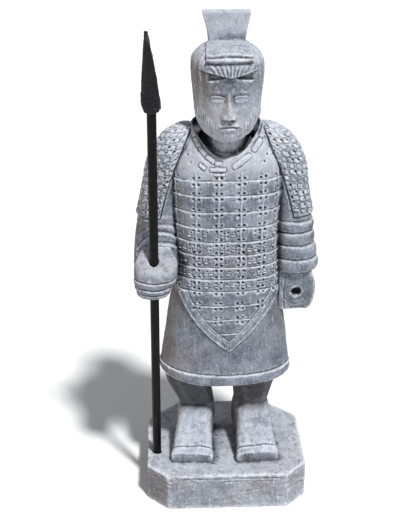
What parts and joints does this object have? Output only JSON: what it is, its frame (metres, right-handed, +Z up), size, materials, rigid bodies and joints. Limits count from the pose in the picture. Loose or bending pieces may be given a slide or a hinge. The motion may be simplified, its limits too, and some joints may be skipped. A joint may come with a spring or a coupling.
{
  "type": "warrior statue",
  "caption": "Carved stone warrior in plated armour on a chamfered plinth, one hand closed round an upright iron spear and the other bored through.",
  "frame": {"origin": "on the plinth's underside, below the middle of the figure", "axes": "+Z up through the head, -Y the way the figure faces, -X towards its right hand with the spear"},
  "size_m": [0.3685, 0.293, 1],
  "materials": {
    "stone": "hand-tooled blue-grey stone, chalky on raised edges and dark in the recesses",
    "shaft": "near-black brown coating, semi-matt",
    "blade": "rough dark grey casting"
  },
  "bodies": {
    "root": {"statue": "stone", "spear_shaft": "shaft", "spear_head": "blade"}
  },
  "joints": []
}
